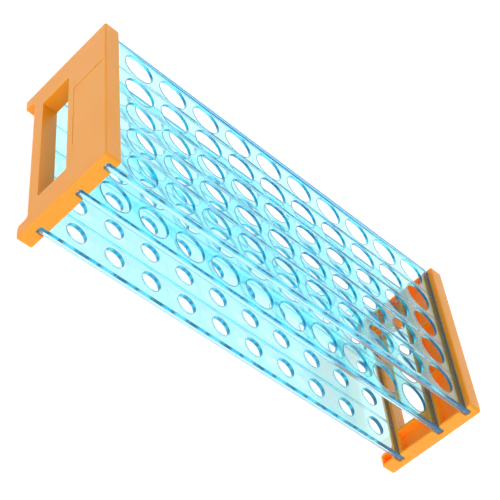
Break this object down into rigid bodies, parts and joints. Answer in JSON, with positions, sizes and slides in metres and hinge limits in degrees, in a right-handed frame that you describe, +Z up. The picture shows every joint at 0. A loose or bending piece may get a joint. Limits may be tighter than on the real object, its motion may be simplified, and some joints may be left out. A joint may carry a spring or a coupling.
{
  "type": "test tube rack",
  "caption": "Knock-down test tube rack: two plastic end plates with hand windows hold three clear shelves with a grid of round holes for tubes.",
  "frame": {"origin": "centre of the rack's footprint, at the level of the feet", "axes": "+X along the rack from the left end plate to the right one, +Y from the open side of the grooves to the closed side, +Z up"},
  "size_m": [0.246, 0.1064, 0.0602],
  "materials": {
    "left_end_plate": "orange moulded plastic, satin, fine texture",
    "right_end_plate": "orange moulded plastic, satin, fine texture",
    "top_shelf": "clear cyan-blue moulded plastic, polished",
    "middle_shelf": "clear cyan-blue moulded plastic, polished",
    "bottom_shelf": "clear cyan-blue moulded plastic, polished"
  },
  "bodies": {
    "frame": {"left_end_plate": "left_end_plate", "right_end_plate": "right_end_plate"},
    "top_shelf": {"top_shelf": "top_shelf"},
    "middle_shelf": {"middle_shelf": "middle_shelf"},
    "bottom_shelf": {"bottom_shelf": "bottom_shelf"}
  },
  "joints": [
    {"name": "top_shelf_slide", "type": "slide", "parent": "frame", "child": "top_shelf", "axis": [0, -1, 0], "range_m": [0, 0.11]},
    {"name": "middle_shelf_slide", "type": "slide", "parent": "frame", "child": "middle_shelf", "axis": [0, -1, 0], "range_m": [0, 0.11]},
    {"name": "bottom_shelf_slide", "type": "slide", "parent": "frame", "child": "bottom_shelf", "axis": [0, -1, 0], "range_m": [0, 0.11]}
  ]
}
